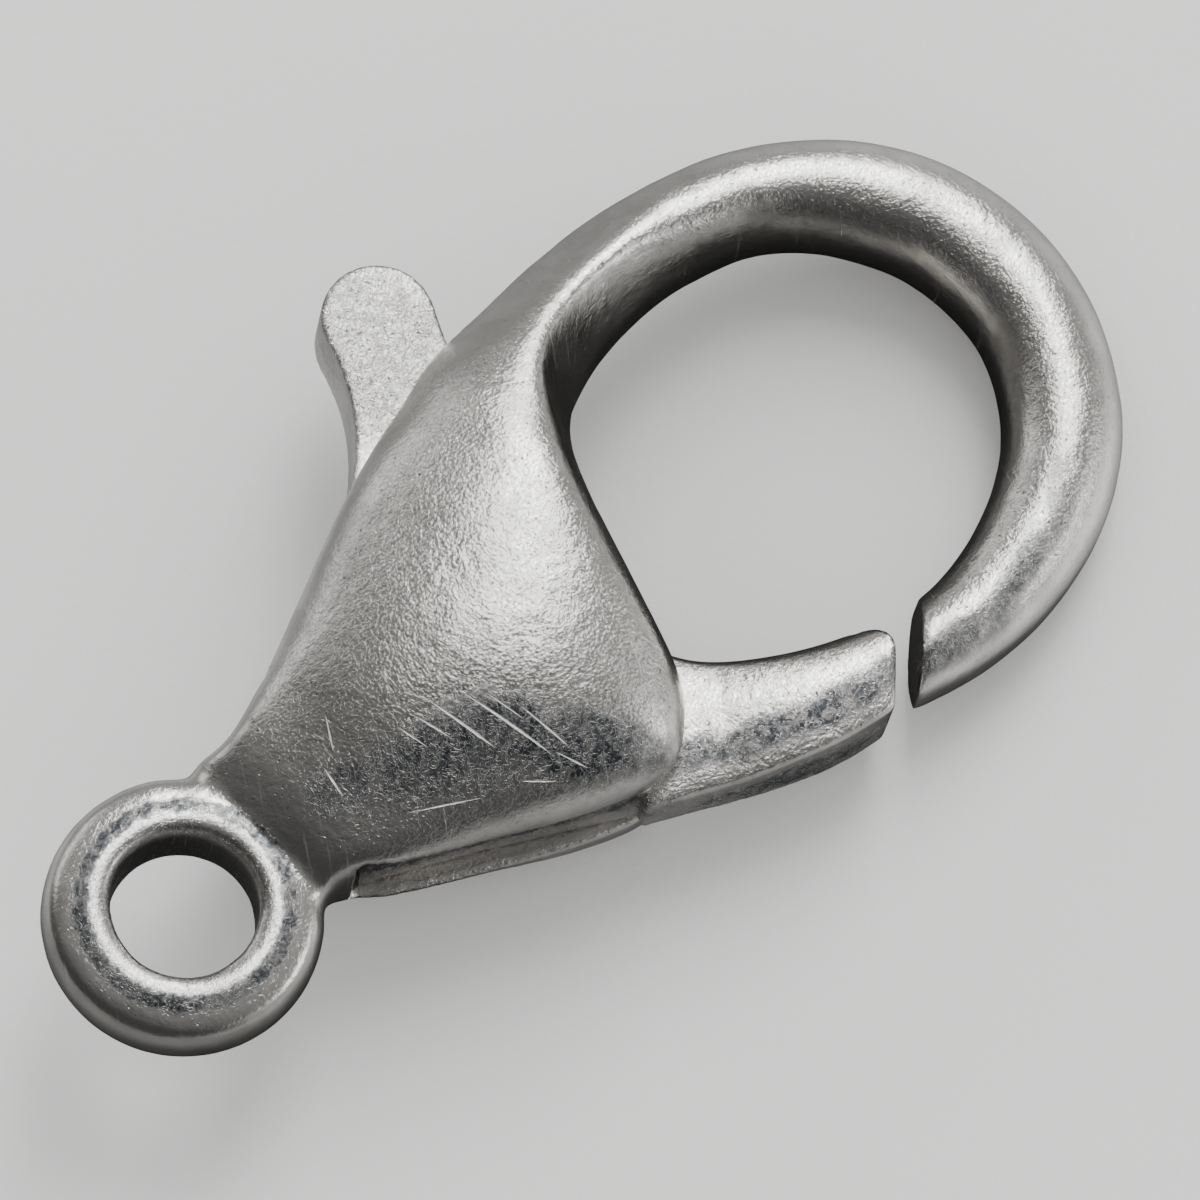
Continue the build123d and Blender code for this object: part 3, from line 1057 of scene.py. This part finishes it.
def hairlines():
    """Many faint parallel scratches."""
    tree, given, back = new_group(
        "hairlines",
        (
            ("Place", "Vector", None), ("Turn", "Float", 0.0), ("Length", "Float", 0.6),
            ("Spacing", "Float", 0.03),
        ),
        ("Lines",),
    )
    level = turned_back(tree, given["Place"], given["Turn"])
    size = node(
        tree, "CombineXYZ", {"X": given["Length"], "Y": given["Spacing"], "Z": given["Length"]}
    ).outputs[0]
    value = noise(tree, vectors(tree, "DIVIDE", level, size)["Vector"], 1.0, detail=1.0)
    tree.links.new(ramp(tree, value, 0.66, 0.74), back["Lines"])


class ClaspFinish(bpy.types.PropertyGroup):
    """Colours and textures of the clasp's plate and of its studio."""

    plate: colour("Plate", "Colour of the silver plate", (0.83, 0.81, 0.775))
    # Colour of the dark patches: tarnish, and painted shade and reflection
    tarnish_and_shade: colour("Tarnish", "Colour of the dark worn patches", (0.072, 0.080, 0.091))
    soil: colour("Soil", "Colour of what lies in pits and hollows", (0.13, 0.12, 0.11))
    steel: colour("Steel", "Colour of the spring", (0.50, 0.50, 0.51))
    floor: colour("Floor", "Colour of the floor", (0.74, 0.735, 0.725))
    polish: fraction("Polish", "Roughness of the plate where it is smooth", 0.20)
    worn: fraction("Worn", "Roughness of the worn patches", 0.42)
    grain_depth: length("Grain depth", "Depth of the plate's fine crinkle", 0.0060)
    grain_size: length("Grain size", "Size of the plate's fine crinkle", 0.034)
    floor_reach: length("Floor reach", "From the floor's middle to its edge", 1000)


def finish():
    """The clasp's colours and textures as the scene holds them."""
    return bpy.context.scene.clasp_finish


# The material of each piece


def tarnish_and_shade_mask(tree, place, patches, bands):
    """How dark the plate is, by tarnish and by painted shade and reflection, in its patches and
    in bands round the bore.
    """
    dark = 0.0
    for centre, reach, turn, strength in patches:
        mask = placed(
            tree, "wear_and_shade_patch", Place=place, Centre=centre, Reach=reach, Turn=radians(turn),
            Fray=PATCH_FRAY,
        )["Mask"]
        dark = maths(tree, "MAXIMUM", dark, maths(tree, "MULTIPLY", mask, strength))
    for radius, half_width, strength in bands:
        mask = placed(
            tree, "ring_band", Place=place, Radius=radius, Half_Width=half_width, Fray=BAND_FRAY
        )["Mask"]
        dark = maths(tree, "MAXIMUM", dark, maths(tree, "MULTIPLY", mask, strength))
    return dark


def cut_mask(tree, place, scratches, slant):
    """How deep the plate is cut, by hairlines all over and by single scratches."""
    lines = placed(tree, "hairlines", Place=place, Turn=radians(slant), Length=0.7, Spacing=0.022)
    cuts = maths(tree, "MULTIPLY", lines["Lines"], HAIRLINE)
    for start, end, width in scratches:
        mask = placed(
            tree, "scratch_line", Place=place, Start=(*start, 0), End=(*end, 0), Width=width
        )["Mask"]
        cuts = maths(tree, "MAXIMUM", cuts, mask)
    return cuts


def rugged_mask(tree, place):
    """How rough the casting is: most on its broad faces, less on flanks and the ring."""
    normal = node(tree, "TexCoord").outputs["Normal"]
    upright = tuple(lying().to_3x3() @ Vector((0, 0, 1)))
    facing = vectors(tree, "DOT_PRODUCT", normal, upright)["Value"]
    facing = ramp(tree, maths(tree, "ABSOLUTE", facing), 0.62, 0.88, 0.45, 1.0)
    from_ring = vectors(tree, "LENGTH", place)["Value"]
    return maths(tree, "MULTIPLY", facing, ramp(tree, from_ring, 1.3, 2.0, 0.55, 1.0))


def plate_material(name, tone, slant, bare_lines, patches=(), bands=(), scratches=()):
    """Worn silver plate over a casting, with painted shade and reflection in its dark patches.
    tone lightens its colour, slant is the way of its hairlines in degrees, and bare_lines is
    how much its ridges show in the dark patches."""
    look = finish()
    material, tree, shader = new_material(name)
    place = clasp_place(tree)
    grain = placed(tree, "cast_grain", Place=place, Grain=look.grain_size / MM, Swell=0.55)
    worms = placed(tree, "worm_lines", Place=place, Spacing=0.075)["Lines"]
    dark = tarnish_and_shade_mask(tree, place, patches, bands)
    cuts = cut_mask(tree, place, scratches, slant)
    rugged = rugged_mask(tree, place)

    # The dark patches, tarnish and painted shade, are mottled, and lines of bare plate and
    # scratches run through them
    mottled = ramp(tree, grain["Clouds"], 0.30, 0.62, 0.72, 1.0)
    specks = noise(tree, place, 9.0, detail=6.0, distortion=0.3, roughness=0.72)
    flecks = ramp(tree, specks, 0.40, 0.64, 1.0, 0.55)
    bare = maths(tree, "SUBTRACT", 1.0, maths(tree, "MULTIPLY", worms, bare_lines))
    uncut = maths(tree, "SUBTRACT", 1.0, cuts)
    shade = product(tree, dark, mottled, flecks, bare, uncut, TARNISH_AND_SHADE_COVER)
    shade = maths(tree, "MINIMUM", shade, 1.0)

    clouds = ramp(tree, grain["Clouds"], 0.35, 0.65)
    tint = blend(tree, clouds, toned(look.plate, tone * DULL_PLATE), toned(look.plate, tone))
    # Tarnish and painted shade and reflection darken the plate in the patches
    tint = blend(tree, shade, tint, toned(look.tarnish_and_shade))
    soiled = product(tree, grain["Pits"], rugged, SOIL_COVER)
    tint = blend(tree, soiled, tint, toned(look.soil))
    # The scratches are real; their lighter colour is a painted glint
    tint = blend(tree, cuts, tint, toned(look.plate, CUT_GLINT))
    tree.links.new(tint, shader.inputs["Base Color"])

    smooth = ramp(tree, grain["Clouds"], 0.3, 0.7, look.polish * 1.25, look.polish * 0.85)
    rough = maths(tree, "MULTIPLY_ADD", shade, look.worn - look.polish, smooth)
    rough = maths(tree, "MULTIPLY_ADD", cuts, CUT_ROUGHNESS, rough)
    tree.links.new(rough, shader.inputs["Roughness"])
    metal = maths(tree, "MULTIPLY_ADD", cuts, CUT_METALLIC, 1.0)
    tree.links.new(metal, shader.inputs["Metallic"])

    height = maths(tree, "MULTIPLY_ADD", grain["Pits"], -PIT_DEPTH, grain["Height"])
    height = maths(tree, "MULTIPLY", height, rugged)
    height = maths(tree, "MULTIPLY_ADD", cuts, -CUT_DEPTH, height)
    raised = product(tree, worms, dark, bare_lines * RIDGE_HEIGHT)
    emboss(tree, shader, maths(tree, "ADD", height, raised), look.grain_depth)
    return material


def body_plate():
    """The plate of ring, cheeks and hook."""
    return plate_material(
        "body_plate", 1.0, 65, 0.3, BODY_PATCHES + HOOK_PATCHES, RING_BANDS, SCRATCHES
    )


def lever_plate():
    """The plate of gate and thumb tab."""
    return plate_material("lever_plate", 1.02, 20, 0.8, GATE_PATCHES)


def pin_plate():
    """The plate of the pin's end."""
    return plate_material("pin_plate", 0.94, 110, 0.3)


def spring_steel():
    """Drawn spring steel, its fine lines along the strip."""
    look = finish()
    material, tree, shader = new_material("spring_steel")
    place = clasp_place(tree)
    drawn = vectors(tree, "MULTIPLY", place, (1, 1, 14))["Vector"]
    streaks = noise(tree, drawn, 3.0, detail=3.0)
    grain = placed(tree, "cast_grain", Place=place, Grain=0.03, Swell=0.3)
    tint = blend(tree, streaks, toned(look.steel, 0.7), toned(look.steel))
    tree.links.new(tint, shader.inputs["Base Color"])
    tree.links.new(ramp(tree, grain["Clouds"], 0.3, 0.7, 0.26, 0.40), shader.inputs["Roughness"])
    shader.inputs["Metallic"].default_value = 1.0
    emboss(tree, shader, streaks, look.grain_depth * 0.3)
    return material


class CLASP_OT_finishes(bpy.types.Operator):
    """Makes the node groups that the materials share"""

    bl_idname = "clasp.finishes"
    bl_label = "Finishes"

    def execute(self, context):
        for effect in (cast_grain, worm_lines, wear_and_shade_patch, ring_band, scratch_line, hairlines):
            effect()
        return {"FINISHED"}


# The studio. The camera's right, its up and the point that it looks at are in the clasp's
# own axes, and what it sees there is so many millimetres wide
CAMERA_RIGHT = (0.779, -0.618, 0.105)
CAMERA_UP = (0.558, 0.760, 0.334)
CAMERA_AIM = (5.011, 0.140, 0)
CAMERA_LENS = 300
CAMERA_SENSOR = 36
VIEW_WIDTH = 11.15

# Lights, by the way they shine from in degrees: turn round the clasp from the camera's
# right, and tilt from the camera's line of sight. Distances and sizes are metres
LIGHTS = (
    # name, turn, tilt, distance, width, height, radiance
    ("back_softbox", 76, 56, 0.16, 0.062, 0.130, 8.5),
    ("left_softbox", 134, 85, 0.16, 0.110, 0.080, 0.9),
    ("right_softbox", 0, 68, 0.16, 0.090, 0.045, 3.0),
    ("front_card", -30, 60, 0.16, 0.100, 0.070, 0.3),
)

# The room's even light, and what polished metal mirrors of it, from its dark to its bright
# side
ROOM_LIGHT = (1.1, 1.1, 1.1, 1)
ROOM_DARK = (0.038, 0.038, 0.039, 1)
ROOM_BRIGHT = (0.29, 0.29, 0.287, 1)

# The painted reflection that polished metal sees in place of the floor, from its dark to its
# light end, and the four fades that lead there by distances in millimetres: away from the
# clasp, and up and along the picture
REFLECTION_DARK = (0.012, 0.012, 0.012, 1)
REFLECTION_LIGHT = (0.68, 0.68, 0.675, 1)
REFLECTION_FADES = (
    # distance, low, high, share at low, share at high
    ("away", 2.3, 5.5, 0.0, 1.0),
    ("up", 1.5, 5.0, 1.0, 0.5),
    ("along", -1.0, 5.0, 0.45, 1.0),
    ("up", -4.0, -1.0, 0.35, 1.0),
)
# The painted reflection is darkest round the middle of the hook, in shares of the body, and round the ring, which
# counts so many millimetres farther off
HOOK_MIDDLE = (0.66, 0.02)
RING_LEAD = 0.6
FLOOR_THICKNESS = 2
FLOOR_GAP = 0.002


def camera_axes():
    """The camera's right and up, the way from the clasp to it, and what it looks at."""
    laid = lying()
    turn = laid.to_3x3()
    right, up = Vector(CAMERA_RIGHT), Vector(CAMERA_UP)
    toward = right.cross(up).normalized()
    up = toward.cross(right).normalized()
    right = up.cross(toward)
    return turn @ right, turn @ up, turn @ toward, laid @ (Vector(CAMERA_AIM) * MM)


def set_camera(scene):
    """A long lens that looks at the clasp from the photograph's angle."""
    right, up, toward, aim = camera_axes()
    data = bpy.data.cameras.new("camera")
    data.lens = CAMERA_LENS
    data.sensor_width = CAMERA_SENSOR
    distance = VIEW_WIDTH * MM * data.lens / data.sensor_width
    data.clip_start = distance * 0.1
    data.clip_end = distance * 100
    camera = bpy.data.objects.new("camera", data)
    scene.collection.objects.link(camera)
    turn = Matrix((right, up, toward)).transposed().to_4x4()
    camera.matrix_world = Matrix.Translation(aim + toward * distance) @ turn
    scene.camera = camera


def lay_floor():
    """The pale card that the clasp lies on."""
    reach = finish().floor_reach
    corners = [Vector((x, y, 0)) * reach for x, y in ((-1, -1), (1, -1), (1, 1), (-1, 1))]
    floor = slab_piece("floor", corners, -FLOOR_THICKNESS * MM, -FLOOR_GAP * MM)
    floor.data.materials.append(floor_material())


def floor_material():
    """Pale matt card; glossy rays see a painted reflection on it instead, dark near the clasp."""
    look = finish()
    right, up, _, _ = camera_axes()
    material, tree, shader = new_material("pale_floor")
    place = node(tree, "TexCoord").outputs["Object"]
    pale = blend(
        tree, noise(tree, place, 260.0, detail=3.0), toned(look.floor, 0.95), toned(look.floor)
    )
    from_hook = vectors(tree, "DISTANCE", place, lying() @ at(*HOOK_MIDDLE))["Value"]
    from_ring = vectors(tree, "DISTANCE", place, lying() @ Vector())["Value"]
    from_ring = maths(tree, "ADD", from_ring, RING_LEAD * MM)
    distances = {
        "away": maths(tree, "MINIMUM", from_hook, from_ring),
        "up": vectors(tree, "DOT_PRODUCT", place, tuple(up))["Value"],
        "along": vectors(tree, "DOT_PRODUCT", place, tuple(right))["Value"],
    }
    reflection_fade = product(
        tree,
        *(
            ramp(tree, distances[name], low * MM, high * MM, start, end)
            for name, low, high, start, end in REFLECTION_FADES
        ),
    )
    # Glossy rays see this painted reflection in place of the pale card
    painted_reflection = blend(tree, reflection_fade, REFLECTION_DARK, REFLECTION_LIGHT)
    glossy = node(tree, "LightPath").outputs["Is Glossy Ray"]
    tree.links.new(blend(tree, glossy, pale, painted_reflection), shader.inputs["Base Color"])
    shader.inputs["Roughness"].default_value = 0.8
    shader.inputs["Specular IOR Level"].default_value = 0.2
    emboss(tree, shader, noise(tree, place, 9000.0), 0.02 * MM, strength=0.3)
    return material


def light_room(scene):
    """An even room, which polished metal mirrors as dim and brighter on one side."""
    right, up, _, _ = camera_axes()
    world = bpy.data.worlds.new("studio")
    scene.world = world
    world.use_nodes = True
    tree = world.node_tree
    sky = node(tree, "TexCoord").outputs["Generated"]
    bright_side = (up * 0.9 + right * 0.45).normalized()
    climb = vectors(tree, "DOT_PRODUCT", sky, tuple(bright_side))["Value"]
    room = blend(tree, ramp(tree, climb, -0.6, 0.9), ROOM_DARK, ROOM_BRIGHT)
    glossy = node(tree, "LightPath").outputs["Is Glossy Ray"]
    tone = blend(tree, glossy, ROOM_LIGHT, room)
    tree.links.new(tone, tree.nodes["Background"].inputs["Color"])


def hang_lights(scene):
    """Softboxes round the camera's line of sight, each facing the clasp."""
    right, up, toward, aim = camera_axes()
    for name, turn, tilt, far, width, height, radiance in LIGHTS:
        level = right * cos(radians(turn)) + up * sin(radians(turn))
        way = toward * cos(radians(tilt)) + level * sin(radians(tilt))
        across = toward.cross(level)
        light = bpy.data.lights.new(name, "AREA")
        light.shape = "RECTANGLE"
        light.size = width
        light.size_y = height
        light.energy = radiance * pi * width * height
        lamp = bpy.data.objects.new(name, light)
        scene.collection.objects.link(lamp)
        facing = Matrix((across, way.cross(across), way)).transposed().to_4x4()
        lamp.matrix_world = Matrix.Translation(aim + way * far) @ facing


class CLASP_OT_studio(bpy.types.Operator):
    """Sets up the pale floor, the soft lights and the camera"""

    bl_idname = "clasp.studio"
    bl_label = "Studio"

    def execute(self, context):
        set_camera(context.scene)
        lay_floor()
        light_room(context.scene)
        hang_lights(context.scene)
        return {"FINISHED"}


class CLASP_PT_panel(bpy.types.Panel):
    """Lists the clasp's sizes and the steps that build it"""

    bl_idname = "CLASP_PT_panel"
    bl_label = "Lobster clasp"
    bl_space_type = "VIEW_3D"
    bl_region_type = "UI"
    bl_category = "Clasp"

    def draw(self, context):
        column = self.layout.column()
        for step in STEPS:
            column.operator(step.bl_idname)
        for name in ClaspSizes.__annotations__:
            column.prop(context.scene.clasp_sizes, name)
        for name in ClaspFinish.__annotations__:
            column.prop(context.scene.clasp_finish, name)


STEPS = (
    CLASP_OT_finishes,
    CLASP_OT_cast_body,
    CLASP_OT_gate_lever,
    CLASP_OT_pivot_pin,
    CLASP_OT_return_spring,
    CLASP_OT_studio,
)
CLASSES = (ClaspSizes, ClaspFinish, *STEPS, CLASP_PT_panel)


def register():
    """Registers the classes and gives every scene its sizes and its finish."""
    for made in CLASSES:
        bpy.utils.register_class(made)
    bpy.types.Scene.clasp_sizes = bpy.props.PointerProperty(type=ClaspSizes)
    bpy.types.Scene.clasp_finish = bpy.props.PointerProperty(type=ClaspFinish)


def unregister():
    """Undoes what register did."""
    del bpy.types.Scene.clasp_sizes
    del bpy.types.Scene.clasp_finish
    for made in reversed(CLASSES):
        bpy.utils.unregister_class(made)


def main():
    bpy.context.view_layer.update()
    register()
    bpy.ops.clasp.finishes()
    bpy.ops.clasp.cast_body()
    bpy.ops.clasp.gate_lever()
    bpy.ops.clasp.pivot_pin()
    bpy.ops.clasp.return_spring()
    bpy.ops.clasp.studio()
    bpy.context.view_layer.update()


if __name__ == "__main__":
    main()
